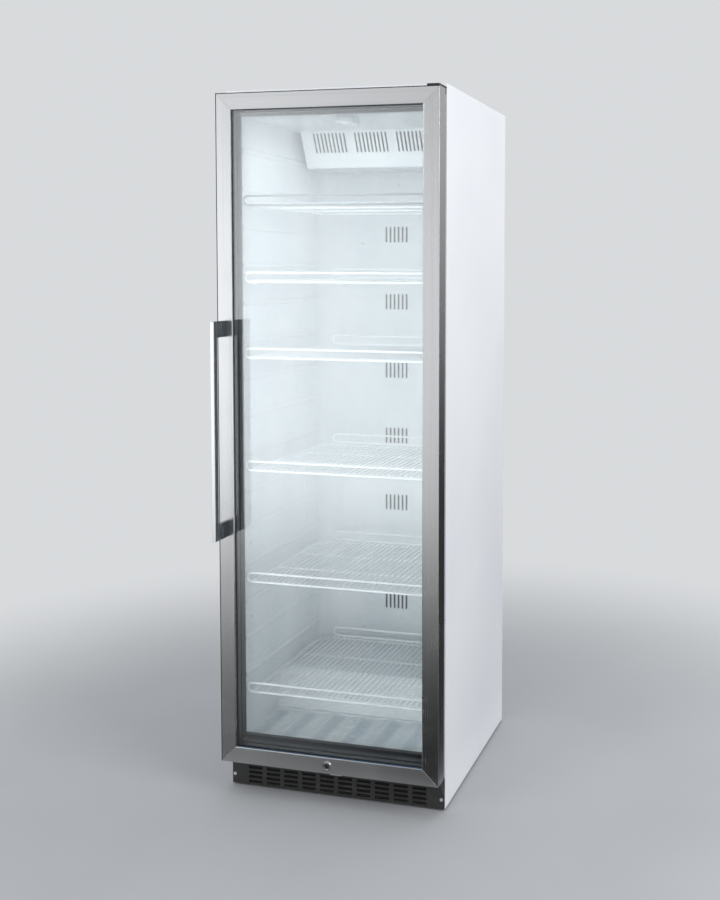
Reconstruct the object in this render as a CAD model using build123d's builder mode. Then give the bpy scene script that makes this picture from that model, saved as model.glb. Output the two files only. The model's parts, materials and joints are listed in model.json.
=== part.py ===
from build123d import *
import os

os.makedirs("parts", exist_ok=True)

# Glass-door reach-in refrigerator. Millimetres; x runs to the right, y from the front to the back, z up.
# The origin is on the ground, under the middle of the whole object, handle included.

# Outer sizes
width = 600
height = 1850
cabinet_depth = 590
door_gap = 12
door_depth = 48
handle_reach = 70
sheet = 1
fit = 0.2

overall_depth = handle_reach + door_depth + door_gap + cabinet_depth
handle_y = -overall_depth / 2
door_y = handle_y + handle_reach
door_back_y = door_y + door_depth
front_y = door_back_y + door_gap
back_y = front_y + cabinet_depth
half_width = width / 2
side_z = 6
flange = 12

# Storage compartment
inner_half = 266
liner = 2
strip_depth = 16
liner_y = front_y + strip_depth
inner_back_y = 320
floor_z = 142
floor_thick = 8
hump_z = 245
hump_start_y = -30
hump_end_y = 10
ceiling_z = 1785
cove = 60
cove_y = inner_back_y - cove
rib_proud = 2.5
rib_half = 8

# Shelves: the level is the height of the wire that the deck lies on
shelf_levels = [256, 556, 856, 1156, 1356, 1556]
level_pitch = 100
shelf_half = 258
shelf_front_y = -219
shelf_back_y = 240
side_wire_x = 250
corner_cut = 48
rail_r = 3
cross_r = 2.5
deck_r = 1.75
deck_wires = 31
weld = 0.25
guard_rise = 24
back_guard_half = 205
clip_columns = [-180, 180]
clip_drop = 7
hole_r = 3

# Door
door_z = 90
door_top = 1836
face = 41
steel = 2
pane = 4
pane_gap = 16
pane_y = door_y + 5.7
pane_inset = 36
sight_inset = 46
gasket_inset = 16
gasket_wide = 14
gasket_low = 32
hinge_x = 288
hinge_y = door_y + 35
pin_r = 4
bush_r = 7
bush_long = 25
run_fit = 0.05
lock_z = 111
lock_r = 10
plug_r = 6.5

# Handle
handle_x = -283
handle_wide = 11
bar_deep = 18
handle_low = 694
handle_high = 1256
post_high = 41

# Machine compartment
pan_z = 24
deck_z = 88
deck_step_y = 6
machine_top = 204
grille_y = 352
fan_x = -150
fan_z = 115
cool_fan_z = 1735
foot_x = 265
foot_front_y = -190
foot_back_y = 320
foot_r = 19
stem_r = 5


def block(x0, x1, y0, y1, z0, z1, mode=Mode.ADD):
    """A box between two corners, added to the part in hand."""
    with Locations(((x0 + x1) / 2, (y0 + y1) / 2, (z0 + z1) / 2)):
        Box(x1 - x0, y1 - y0, z1 - z0, mode=mode)


def rod(x, y0, y1, z, radius, mode=Mode.ADD):
    """A cylinder that runs front to back."""
    with Locations((x, (y0 + y1) / 2, z)):
        Cylinder(radius, y1 - y0, rotation=(90, 0, 0), mode=mode)


def bar(x0, x1, y, z, radius, mode=Mode.ADD):
    """A cylinder that runs left to right."""
    with Locations(((x0 + x1) / 2, y, z)):
        Cylinder(radius, x1 - x0, rotation=(0, 90, 0), mode=mode)


def post(x, y, z0, z1, radius, mode=Mode.ADD):
    """An upright cylinder."""
    with Locations((x, y, (z0 + z1) / 2)):
        Cylinder(radius, z1 - z0, mode=mode)


def facing(y):
    """A plane that faces the front at depth y. Its x is across and its y is up; extrude comes forwards."""
    return Plane.XZ.offset(-y)


def crosswise(x):
    """A plane that faces the right at x. Its x runs back and its y is up; extrude goes to the right."""
    return Plane.YZ.offset(x)


def save(piece, name):
    piece.part.label = name
    export_step(piece.part, f"parts/{name}.step")


# Cabinet sheet metal -------------------------------------------------------------------------------

for name, side in (("left_side_panel", -1), ("right_side_panel", 1)):
    with BuildPart() as side_panel:
        edge = side * (half_width - sheet / 2)
        lap = side * (half_width - flange / 2)
        with BuildSketch(Plane.XY.offset(side_z)):
            with Locations((edge, (front_y + back_y) / 2)):
                Rectangle(sheet, cabinet_depth)
            with Locations((lap, front_y + sheet / 2), (lap, back_y - sheet / 2)):
                Rectangle(flange, sheet)
        extrude(amount=height - side_z)
        outer = side_panel.edges().filter_by(Axis.Z).sort_by(Axis.X)
        fillet(outer[-2:] if side > 0 else outer[:2], sheet * 0.6)
    save(side_panel, name)

lap_x = half_width - flange - fit
wall_x = half_width - sheet - fit
top_flange = 16

with BuildPart() as top_panel:
    block(-wall_x, wall_x, front_y + sheet + fit, back_y - sheet - fit, height - sheet, height)
    block(-lap_x, lap_x, front_y, front_y + sheet + fit, height - top_flange, height)
    block(-lap_x, lap_x, back_y - sheet - fit, back_y, height - top_flange, height)
save(top_panel, "top_panel")

with BuildPart() as back_panel:
    block(-lap_x, lap_x, back_y - sheet, back_y, machine_top + 8, height - top_flange - fit)
    for z in (600, 1000, 1400):
        block(-lap_x + 40, lap_x - 40, back_y - sheet - 2, back_y - sheet, z - 6, z + 6)
save(back_panel, "back_panel")

feet = {
    "front_left_foot": (-foot_x, foot_front_y),
    "front_right_foot": (foot_x, foot_front_y),
    "back_left_foot": (-foot_x, foot_back_y),
    "back_right_foot": (foot_x, foot_back_y),
}
pan_thick = 2
upstand = 34

with BuildPart() as base_pan:
    pan_top = pan_z + pan_thick
    block(-wall_x, wall_x, front_y + 2, back_y - 2, pan_z, pan_top)
    for side in (-1, 1):
        near = side * wall_x
        far = side * (wall_x - 1.5)
        block(min(near, far), max(near, far), front_y + 2, back_y - 2, pan_top, pan_top + upstand)
    for x, y in feet.values():
        post(x, y, pan_top, pan_top + 8, 12)
        post(x, y, pan_z, pan_top + 8, stem_r + run_fit, mode=Mode.SUBTRACT)
save(base_pan, "base_pan")

with BuildPart() as compartment_deck:
    with BuildSketch(crosswise(-wall_x)):
        with BuildLine():
            Polyline(
                (front_y + 2, deck_z),
                (deck_step_y + sheet, deck_z),
                (deck_step_y + sheet, machine_top),
                (back_y - 2, machine_top),
                (back_y - 2, machine_top + sheet),
                (deck_step_y, machine_top + sheet),
                (deck_step_y, deck_z + sheet),
                (front_y + 2, deck_z + sheet),
                close=True,
            )
        make_face()
    extrude(amount=2 * wall_x)
save(compartment_deck, "compartment_deck")

for name, (x, y) in feet.items():
    with BuildPart() as foot:
        post(x, y, 0, 5, foot_r)
        chamfer(foot.edges().sort_by(Axis.Z)[0], 1)
        with Locations((x, y, 5)):
            Cone(foot_r - 2, 9, 5, align=(Align.CENTER, Align.CENTER, Align.MIN))
        post(x, y, 10, 56, stem_r)
        with BuildSketch(Plane.XY.offset(12)):
            with Locations((x, y)):
                RegularPolygon(8.5, 6)
        extrude(amount=6)
    save(foot, name)

# Kick plate and its fixings
kick_y = front_y - 1.5
kick_top = 88
slot_columns = 10
slot_rows = 4
slot_pitch = 51.4
row_pitch = 12.7
first_row_z = 14.5
kick_screw_x = 291
kick_screw_z = 31

with BuildPart() as kick_plate:
    block(-wall_x, wall_x, kick_y, front_y, 5, kick_top)
    with BuildSketch(facing(front_y)):
        mid_row = first_row_z + row_pitch * (slot_rows - 1) / 2
        with Locations((0, mid_row)):
            with GridLocations(slot_pitch, row_pitch, slot_columns, slot_rows):
                RectangleRounded(39, 7.6, 2)
    extrude(amount=2, mode=Mode.SUBTRACT)
save(kick_plate, "kick_plate")

# Insulated compartment: foam between the sheet metal and the liner ----------------------------------

with BuildPart() as foam:
    foam_low = deck_z + sheet + fit
    foam_step = machine_top + sheet + fit
    block(-wall_x + 0.1, wall_x - 0.1, liner_y + fit, back_y - 4, foam_low, height - sheet - fit)
    block(-wall_x, wall_x, deck_step_y - fit, back_y, deck_z, foam_step, mode=Mode.SUBTRACT)
    with BuildSketch(crosswise(-inner_half - liner - fit)):
        with BuildLine():
            Polyline(
                (liner_y - 1, floor_z - floor_thick - fit),
                (hump_start_y + 5.7, floor_z - floor_thick - fit),
                (hump_end_y + 5.8, hump_z - floor_thick - fit),
                (inner_back_y + liner + fit, hump_z - floor_thick - fit),
                (inner_back_y + liner + fit, ceiling_z + liner + fit),
                (liner_y - 1, ceiling_z + liner + fit),
                close=True,
            )
        make_face()
    extrude(amount=2 * (inner_half + liner + fit), mode=Mode.SUBTRACT)
save(foam, "foam_insulation")

strip_top = height - top_flange - fit

with BuildPart() as breaker:
    block(-lap_x, -inner_half, front_y, liner_y, door_z, strip_top)
    block(inner_half, lap_x, front_y, liner_y, door_z, strip_top)
    block(-inner_half + 0.1, inner_half - 0.1, front_y, liner_y, ceiling_z, strip_top)
    block(-inner_half + 0.1, inner_half - 0.1, front_y, liner_y, door_z, floor_z)
save(breaker, "front_breaker_strips")

hole_levels = [shelf_levels[0] - clip_drop + level_pitch * k for k in range(15)]
rib_levels = [z + level_pitch / 2 for z in hole_levels]

# The space below the step in the floor, over the machine compartment, drawn from the side
under_floor = [
    (hump_start_y + 5.5, floor_z - floor_thick),
    (hump_end_y + 5.6, hump_z - floor_thick),
    (back_y, hump_z - floor_thick),
    (back_y, deck_z),
    (hump_start_y + 5.5, deck_z),
]

for name, side in (("inner_left_wall", -1), ("inner_right_wall", 1)):
    with BuildPart() as wall:
        with BuildSketch(facing(cove_y)):
            wall_low = floor_z - floor_thick
            wall_high = ceiling_z + liner
            with Locations((side * (inner_half + liner / 2), (wall_low + wall_high) / 2)):
                Rectangle(liner, wall_high - wall_low)
            for z in rib_levels:
                root = side * inner_half
                crest = side * (inner_half - rib_proud)
                with BuildLine():
                    Polyline(
                        (root, z - rib_half),
                        (crest, z - rib_half / 2),
                        (crest, z + rib_half / 2),
                        (root, z + rib_half),
                        close=True,
                    )
                make_face()
        extrude(amount=cove_y - liner_y)
        for y in clip_columns:
            for z in hole_levels:
                bar(side * 280 - 20, side * 280 + 20, y, z, hole_r, mode=Mode.SUBTRACT)
        with BuildSketch(crosswise(side * inner_half)):
            with BuildLine():
                Polyline(*under_floor, close=True)
            make_face()
        extrude(amount=20, both=True, mode=Mode.SUBTRACT)
    save(wall, name)

vent_levels = [362, 672, 880, 1082, 1292, 1497]
vent_slots = 6
vent_pitch = 13
vent_x = -30
screw_x = 139
back_screws = [(x, z) for x in (-screw_x, screw_x) for z in (270, 480, 860, 1165, 1470)]
screw_hole_r = 2

with BuildPart() as back_wall:
    with BuildSketch(Plane.XY.offset(hump_z)):
        for side in (-1, 1):
            with BuildLine():
                outer_arc = CenterArc(
                    (side * (inner_half - cove), cove_y), cove + liner, 0 if side > 0 else 90, 90
                )
                inner_arc = CenterArc(
                    (side * (inner_half - cove), cove_y), cove, 0 if side > 0 else 90, 90
                )
                Line(outer_arc @ 0, inner_arc @ 0)
                Line(outer_arc @ 1, inner_arc @ 1)
            make_face()
        with Locations((0, inner_back_y + liner / 2)):
            Rectangle(2 * (inner_half - cove), liner)
    extrude(amount=ceiling_z - hump_z)
    with BuildSketch(facing(inner_back_y + 2 * liner)):
        for z in vent_levels:
            with Locations((vent_x, z)):
                with GridLocations(vent_pitch, 1, vent_slots, 1):
                    SlotOverall(48, 6, rotation=90)
        with Locations(*back_screws):
            Circle(screw_hole_r + run_fit)
    extrude(amount=4 * liner, mode=Mode.SUBTRACT)
save(back_wall, "inner_back_wall")


def domed_screw(x, z):
    """A screw head that stands out from the back wall, with its shank in the wall's hole."""
    with BuildPart() as screw:
        rod(x, inner_back_y - 2.2, inner_back_y, z, 5)
        fillet(screw.edges().group_by(Axis.Y)[0], 1.4)
        rod(x, inner_back_y, inner_back_y + liner + 0.1, z, screw_hole_r)
    return screw.part


wall_screws = [domed_screw(x, z) for x, z in back_screws]

with BuildPart() as screws:
    add(wall_screws)
    for x in (-kick_screw_x, kick_screw_x):
        rod(x, kick_y - 2.5, kick_y, kick_screw_z, 4.5)
save(screws, "panel_screws")

with BuildPart() as ceiling:
    block(-inner_half, inner_half, liner_y, inner_back_y + liner, ceiling_z, ceiling_z + liner)
save(ceiling, "inner_ceiling")

groove_count = 6
groove_pitch = 84
groove_half = 37
groove_deep = 5.5
groove_r = (groove_half**2 + groove_deep**2) / (2 * groove_deep)
groove_margin = 10

with BuildPart() as inner_floor:
    with BuildSketch(crosswise(-inner_half)):
        with BuildLine():
            Polyline(
                (liner_y, floor_z),
                (hump_start_y, floor_z),
                (hump_end_y, hump_z),
                (inner_back_y, hump_z),
                (inner_back_y, hump_z - floor_thick),
                (hump_end_y + 5.6, hump_z - floor_thick),
                (hump_start_y + 5.5, floor_z - floor_thick),
                (liner_y, floor_z - floor_thick),
                close=True,
            )
        make_face()
    extrude(amount=2 * inner_half)
    for i in range(groove_count):
        x = (i - (groove_count - 1) / 2) * groove_pitch
        rod(
            x,
            liner_y + groove_margin,
            hump_start_y - groove_margin,
            floor_z - groove_deep + groove_r,
            groove_r,
            mode=Mode.SUBTRACT,
        )
save(inner_floor, "inner_floor")

# Wire shelves ----------------------------------------------------------------------------------------

with BuildPart() as shelf:
    front_end = shelf_front_y + rail_r + 0.1
    with BuildLine() as frame_path:
        FilletPolyline(
            (-side_wire_x, front_end, 0),
            (-side_wire_x, shelf_back_y - corner_cut, 0),
            (-side_wire_x + corner_cut, shelf_back_y, 0),
            (side_wire_x - corner_cut, shelf_back_y, 0),
            (side_wire_x, shelf_back_y - corner_cut, 0),
            (side_wire_x, front_end, 0),
            radius=12,
        )
    with BuildSketch(Plane.XZ.offset(-front_end)):
        with Locations((-side_wire_x, 0)):
            Circle(rail_r)
    sweep(path=frame_path.line)
    for y in (-68, 86):
        bar(-side_wire_x, side_wire_x, y, 0, cross_r)
    deck_height = rail_r + deck_r - weld
    step = 2 * (side_wire_x - 14) / (deck_wires - 1)
    for i in range(deck_wires):
        x = -side_wire_x + 14 + i * step
        past = max(0, abs(x) - (side_wire_x - corner_cut))
        rod(x, front_end, shelf_back_y + 1.5 - past, deck_height, deck_r)

for number, level in enumerate(shelf_levels, 1):
    deck = Pos(0, 0, level) * shelf.part
    deck.label = f"shelf_{number}_deck"
    export_step(deck, f"parts/shelf_{number}_deck.step")


def wire_loop(y, half, low):
    """Two level wires at depth y, joined by a round bend at each end."""
    loop_r = guard_rise / 2
    with BuildPart() as loop:
        with BuildLine(facing(y)) as run:
            Polyline((0, low), (half - loop_r, low))
            RadiusArc((half - loop_r, low), (half - loop_r, low + guard_rise), -loop_r)
            Polyline((half - loop_r, low + guard_rise), (0, low + guard_rise))
        with BuildSketch(crosswise(0)):
            with Locations((y, low)):
                Circle(rail_r)
        sweep(path=run.line)
        mirror(about=Plane.YZ)
    return loop.part


guard_lift = 2 * rail_r + 2 * deck_r
front_loops = [wire_loop(shelf_front_y, shelf_half, level) for level in shelf_levels]
back_loops = [wire_loop(shelf_back_y, back_guard_half, level + guard_lift) for level in shelf_levels]

with BuildPart() as guards:
    add(front_loops + back_loops)
save(guards, "shelf_guards")

with BuildPart() as clips:
    seat = inner_half - side_wire_x + rail_r
    for level in shelf_levels:
        for y in clip_columns:
            for side in (-1, 1):
                near = side * inner_half
                far = side * (inner_half - seat)
                top = level - rail_r - 0.1
                block(min(near, far), max(near, far), y - 5, y + 5, top - 6, top)
                peg = near + side * liner
                bar(min(near, peg), max(near, peg), y, level - clip_drop, hole_r - 0.1)
save(clips, "shelf_clips")

# Evaporator, behind its sloping cover at the top of the back wall ------------------------------------

cover_half = 240
cover_top_y = 90
cover_low_y = 140
cover_low_z = 1683
cover_skin = 2
cover_slot_groups = [-155, -29, 97]
cover_slots = 9
cover_slot_pitch = 11.5
cover_slot_z = 1752


def cover_outline(inset):
    """The cover's side profile, drawn inset from its front and bottom faces, open at the top and the back."""
    return Polyline(
        (cover_top_y + 1.15 * inset, ceiling_z + inset),
        (cover_low_y + 1.15 * inset, cover_low_z + inset),
        (inner_back_y - fit + inset, cover_low_z + inset),
        (inner_back_y - fit + inset, ceiling_z + inset),
        close=True,
    )


with BuildPart() as cover:
    with BuildSketch(crosswise(-cover_half)):
        with BuildLine():
            cover_outline(0)
        make_face()
    extrude(amount=2 * cover_half)
    low_front = cover.edges().filter_by(Axis.X).sort_by(Axis.Z)[:2].sort_by(Axis.Y)[0]
    fillet(low_front, 6)
    with BuildSketch(crosswise(-cover_half + cover_skin)):
        with BuildLine():
            cover_outline(cover_skin)
        make_face()
    extrude(amount=2 * (cover_half - cover_skin), mode=Mode.SUBTRACT)
    with BuildSketch(facing(cover_low_y + 10)):
        for x in cover_slot_groups:
            with Locations((x, cover_slot_z)):
                with GridLocations(cover_slot_pitch, 1, cover_slots, 1):
                    SlotOverall(54, 5.5, rotation=90)
    extrude(amount=80, mode=Mode.SUBTRACT)
    for x in (-150, -50, 50, 150):
        with BuildSketch(Plane.XY.offset(cover_low_z - 1)):
            with Locations((x, 235)):
                with GridLocations(1, 12, 1, 8):
                    SlotOverall(70, 5.5)
        extrude(amount=cover_skin + 2, mode=Mode.SUBTRACT)
    split(bisect_by=Plane.XY.offset(ceiling_z - fit), keep=Keep.BOTTOM)
    with BuildSketch(Plane.XY.offset(cover_low_z - 1)):
        for side in (-1, 1):
            centre = side * (inner_half - cove)
            with Locations((centre + side * cove / 2, cove_y + cove / 2)):
                Rectangle(cove, cove)
            with Locations((centre, cove_y)):
                Circle(cove - fit, mode=Mode.SUBTRACT)
    extrude(amount=ceiling_z - cover_low_z, mode=Mode.SUBTRACT)
save(cover, "evaporator_cover")


def finned_coil(x0, x1, y0, y1, z0, z1, tube_z, pitch):
    """A row of upright fins on level tubes, as one solid."""
    fins = int((x1 - x0) / pitch)
    with BuildPart() as coil:
        for i in range(fins + 1):
            x = x0 + 2 + i * (x1 - x0 - 4) / fins
            block(x - 0.5, x + 0.5, y0, y1, z0, z1)
        for z in tube_z:
            bar(x0, x1, (y0 + y1) / 2, z, 4.5)
        block(x0, x0 + 1.5, y0, y1, z0, z1)
        block(x1 - 1.5, x1, y0, y1, z0, z1)
    return coil


evaporator = finned_coil(-215, 215, 262, 312, 1692, 1782, (1710, 1737, 1764), 9)
save(evaporator, "evaporator_coil")


def fan_motor(x, y, z, hang_z):
    """A round motor with its shaft, on a flat bracket that reaches the sheet at hang_z."""
    with BuildPart() as motor:
        rod(x, y, y + 32, z, 26)
        fillet(motor.edges().group_by(Axis.Y)[-1], 5)
        rod(x, y - 20, y, z, 2)
        rod(x, y - 3, y, z, 8)
        block(x - 8, x + 8, y + 8, y + 11, min(z, hang_z), max(z, hang_z))
        plate_z = hang_z - 2 if hang_z > z else hang_z
        block(x - 20, x + 20, y + 2, y + 17, plate_z, plate_z + 2)
    return motor


def fan_blade(x, y, z, tip):
    """Five pitched blades on a hub whose bore runs on the motor's shaft."""
    root = 9
    vane = Pos((root + tip) / 2, 0, 0) * Rot(32, 0, 0) * Box(tip - root, 1.6, 18)
    vanes = [Pos(x, y, z) * Rot(0, 72 * turn, 0) * vane for turn in range(5)]
    with BuildPart() as blade:
        rod(x, y - 6, y + 6, z, 12)
        fillet(blade.edges().group_by(Axis.Y)[0], 3)
        add(vanes)
        rod(x, y - 7, y + 7, z, 2 + run_fit, mode=Mode.SUBTRACT)
    return blade


save(fan_motor(0, 215, cool_fan_z, ceiling_z - fit), "evaporator_fan_motor")
save(fan_blade(0, 203, cool_fan_z, 42), "evaporator_fan_blade")

# Light and controls ----------------------------------------------------------------------------------

with BuildPart() as led:
    block(255, inner_half - rib_proud - fit, liner_y + 2, liner_y + 18, 180, 1770)
    long_edges = led.edges().filter_by(Axis.Z).sort_by(Axis.X)[:2]
    fillet(long_edges, 4)
save(led, "led_strip")

control_x = 8
control_half = 22
control_front = -190
control_back = -128
control_z = 1767
rocker_y = -172
rocker_half = 8
rocker_tilt = 8
rocker_r = 1.5
rocker_z = control_z + 2.5

with BuildPart() as control:
    left_x = control_x - control_half
    right_x = control_x + control_half
    block(left_x, right_x, control_front, control_back, control_z, ceiling_z - fit)
    fillet(control.edges().filter_by(Axis.Z), 3)
    chamfer(control.faces().sort_by(Axis.Z)[0].edges(), 1)
    block(
        control_x - rocker_half - 0.4,
        control_x + rocker_half + 0.4,
        rocker_y - 7,
        rocker_y + 7,
        control_z - 1,
        control_z + 8,
        mode=Mode.SUBTRACT,
    )
    bar(control_x - 12, control_x + 12, rocker_y, rocker_z, rocker_r + run_fit, mode=Mode.SUBTRACT)
    block(control_x - 14, control_x + 14, -157, -136, control_z - 1, control_z + 0.8, mode=Mode.SUBTRACT)
save(control, "control_housing")

rocker_body = Pos(0, 0, -1) * Box(2 * rocker_half, 11, 6) + Rot(0, 90, 0) * Cylinder(rocker_r, 23)
rocker_at_rest = Pos(control_x, rocker_y, rocker_z) * Rot(rocker_tilt, 0, 0) * rocker_body

with BuildPart() as rocker:
    add(rocker_at_rest)
save(rocker, "light_switch")

# Machine compartment ---------------------------------------------------------------------------------

compressor_x = 130
compressor_y = 190
shell_r = 75
shell_low = 40
shell_high = 186

with BuildPart() as compressor:
    post(compressor_x, compressor_y, shell_low, shell_high, shell_r)
    fillet(compressor.edges().group_by(Axis.Z)[-1], 38)
    fillet(compressor.edges().group_by(Axis.Z)[0], 20)
    post(compressor_x, compressor_y, 108, 114, shell_r + 2)
    block(compressor_x - 60, compressor_x + 60, compressor_y - 88, compressor_y + 88, 36, 42)
    for x in (-48, 48):
        for y in (-78, 78):
            post(compressor_x + x, compressor_y + y, pan_z + pan_thick, 36, 9)
    block(compressor_x - 20, compressor_x + 20, compressor_y + 70, compressor_y + 100, 90, 140)
save(compressor, "compressor")

with BuildPart() as drip_tray:
    for half_x, half_y, low, high, mode in ((85, 70, 0, 16, Mode.ADD), (83, 68, 2, 17, Mode.SUBTRACT)):
        block(
            compressor_x - half_x,
            compressor_x + half_x,
            compressor_y - half_y,
            compressor_y + half_y,
            shell_high + low,
            shell_high + high,
            mode,
        )
    fillet(drip_tray.edges().filter_by(Axis.Z), 5)
save(drip_tray, "drip_tray")

condenser = finned_coil(-240, -60, 8, 48, 40, 190, (60, 92, 124, 156), 6)
with BuildPart() as condenser_feet:
    add(condenser.part)
    block(-240, -60, 8, 48, pan_z + pan_thick, 40)
save(condenser_feet, "condenser_coil")

with BuildPart() as shroud:
    block(fan_x - 78, fan_x + 78, 60, 62, pan_z + pan_thick, 192)
    rod(fan_x, 62, 74, fan_z, 66)
    rod(fan_x, 59, 75, fan_z, 64, mode=Mode.SUBTRACT)
save(shroud, "condenser_fan_shroud")

save(fan_motor(fan_x, 88, fan_z, pan_z + pan_thick), "condenser_fan_motor")
save(fan_blade(fan_x, 74, fan_z, 60), "condenser_fan_blade")

tube_r = 4

hot_start = compressor_x - shell_r - 0.5


def bent_tube(points):
    """A copper tube through the points, with an 18 mm bend at each."""
    with BuildPart() as tube:
        with BuildLine() as run:
            FilletPolyline(*points, radius=18)
        with BuildSketch(Plane(origin=run.line @ 0, z_dir=run.line % 0)):
            Circle(tube_r)
        sweep(path=run.line)
    return tube.part


hot_line = bent_tube([(hot_start, 190, 140), (-10, 190, 140), (-10, 28, 140), (-59.8, 28, 140)])
liquid_line = bent_tube([(-59.8, 28, 60), (30, 28, 60), (30, 28, machine_top - fit)])

with BuildPart() as tubes:
    add(hot_line)
    add(liquid_line)
    post(30, 28, 105, 165, 10)
    for z, high, low in ((165, 4, 10), (99, 10, 4)):
        with Locations((30, 28, z)):
            Cone(low, high, 6, align=(Align.CENTER, Align.CENTER, Align.MIN))
save(tubes, "refrigerant_tubes")

grille_top = machine_top - 2
gland_x = -235
gland_z = 60

with BuildPart() as rear_grille:
    block(-wall_x + 2, wall_x - 2, grille_y, grille_y + sheet, pan_z + 4, grille_top)
    block(-wall_x + 2, wall_x - 2, grille_y + sheet, back_y - 3, pan_z + 4, pan_z + 6)
    with BuildSketch(facing(grille_y + sheet)):
        with Locations((0, 125)):
            with GridLocations(62, 16, 8, 7):
                SlotOverall(50, 7)
        with Locations((gland_x, gland_z)):
            Circle(8.1)
    extrude(amount=2 * sheet, mode=Mode.SUBTRACT)
save(rear_grille, "rear_grille")

with BuildPart() as gland:
    rod(gland_x, grille_y - 6, grille_y + sheet, gland_z, 8)
    rod(gland_x, grille_y + sheet, grille_y + 4, gland_z, 12)
    chamfer(gland.edges().group_by(Axis.Y)[-1], 1)
    rod(gland_x, grille_y - 7, grille_y + 7, gland_z, 4, mode=Mode.SUBTRACT)
save(gland, "power_gland")

# Hinges: a bracket with its pin above and below the door, and a bush for each pin --------------------

bracket_x0 = 270
bracket_x1 = 298
bracket_y0 = door_y + 16
bracket_low = door_top + 1.1
bracket_top = bracket_low + 2.5

with BuildPart() as top_hinge:
    block(bracket_x0, bracket_x1, bracket_y0, front_y - fit, bracket_low, bracket_top)
    block(250, bracket_x1, front_y - 3, front_y - fit, 1823, bracket_top)
    front_corners = top_hinge.edges().filter_by(Axis.Z).group_by(Axis.Y)[0]
    fillet(front_corners, 6)
    post(hinge_x, hinge_y, door_top - bush_long + 2, bracket_low + 1, pin_r)
save(top_hinge, "top_hinge_bracket")

low_plate_z = 83

with BuildPart() as low_hinge:
    block(bracket_x0, bracket_x1, bracket_y0, kick_y - fit, low_plate_z, door_z - 3.5)
    front_corners = low_hinge.edges().filter_by(Axis.Z).group_by(Axis.Y)[0]
    fillet(front_corners, 6)
    block(250, bracket_x1, kick_y - 3, kick_y - fit, 38, door_z - 3.5)
    with BuildSketch(crosswise(bracket_x1 - 3)):
        with BuildLine():
            Polyline(
                (kick_y - 1, 40),
                (kick_y - 1, low_plate_z + 1),
                (bracket_y0 + 8, low_plate_z + 1),
                close=True,
            )
        make_face()
    extrude(amount=3)
    post(hinge_x, hinge_y, door_z - 4, door_z + bush_long - 2, pin_r)
save(low_hinge, "bottom_hinge_bracket")

with BuildPart() as bushes:
    post(hinge_x, hinge_y, door_top - bush_long, door_top, bush_r)
    post(hinge_x, hinge_y, door_top, bracket_low - 0.2, 10)
    post(hinge_x, hinge_y, door_z, door_z + bush_long, bush_r)
    post(hinge_x, hinge_y, door_z - 3.3, door_z, 10)
    post(hinge_x, hinge_y, door_z - 5, door_top + 5, pin_r + run_fit, mode=Mode.SUBTRACT)
save(bushes, "hinge_bushes")

with BuildPart() as hinge_cap:
    block(266, half_width - 0.5, door_y + 1, front_y - fit, bracket_low, bracket_top + 2)
    fillet(hinge_cap.edges().filter_by(Axis.Z).group_by(Axis.Y)[0], 4)
    fillet(hinge_cap.edges().group_by(Axis.Z)[-1], 1.5)
    block(268, 298.2, door_y + 3, front_y + 1, door_top, bracket_top + 0.2, mode=Mode.SUBTRACT)
    block(249, 299, front_y - 3.2, front_y + 1, 1820, bracket_top + 0.2, mode=Mode.SUBTRACT)
save(hinge_cap, "top_hinge_cap")

# Door ------------------------------------------------------------------------------------------------

door_sides = {"left": 0, "top": 1, "right": 2, "bottom": 3}


def corner(index, inset):
    """A corner of the door's outline, drawn in by inset; 0 is bottom left and the rest follow clockwise."""
    x = (half_width - inset) * (-1 if index % 4 in (0, 1) else 1)
    z = (door_z + inset) if index % 4 in (0, 3) else (door_top - inset)
    return (x, z)


def mitred_band(side, outer, inner):
    """The corners of one side of a picture frame between two insets, with its ends cut at 45 degrees."""
    return [
        corner(side, outer),
        corner(side + 1, outer),
        corner(side + 1, inner),
        corner(side, inner),
    ]


def ring(outer, inner, radius=0):
    """A whole picture frame between two insets."""
    mid = (door_z + door_top) / 2
    tall = door_top - door_z
    with Locations((0, mid)):
        Rectangle(width - 2 * outer, tall - 2 * outer)
        if radius:
            RectangleRounded(width - 2 * inner, tall - 2 * inner, radius, mode=Mode.SUBTRACT)
        else:
            Rectangle(width - 2 * inner, tall - 2 * inner, mode=Mode.SUBTRACT)


for name, side in door_sides.items():
    with BuildPart() as member:
        with BuildSketch(facing(door_y + steel)):
            with BuildLine():
                Polyline(*mitred_band(side, 0, face), close=True)
            make_face()
        extrude(amount=steel)
        with BuildSketch(facing(door_back_y)):
            with BuildLine():
                Polyline(*mitred_band(side, 0, steel), close=True)
            make_face()
        extrude(amount=door_depth - steel)
        with BuildSketch(facing(door_y + 5.5)):
            with BuildLine():
                Polyline(*mitred_band(side, face - 1.5, face), close=True)
            make_face()
        extrude(amount=3.5)
        long_axis = Axis.Z if side % 2 == 0 else Axis.X
        outline = member.faces().sort_by(Axis.Y)[0].edges().filter_by(long_axis)
        chamfer(outline, 0.6)
        if name == "bottom":
            rod(0, door_y - 1, door_y + 10, lock_z, lock_r + fit, mode=Mode.SUBTRACT)
        if name in ("top", "bottom"):
            post(hinge_x, hinge_y, door_z - 1, door_top + 1, bush_r + run_fit, mode=Mode.SUBTRACT)
    kind = "stile" if side % 2 == 0 else "rail"
    save(member, f"door_{kind}_{name}")

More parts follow.
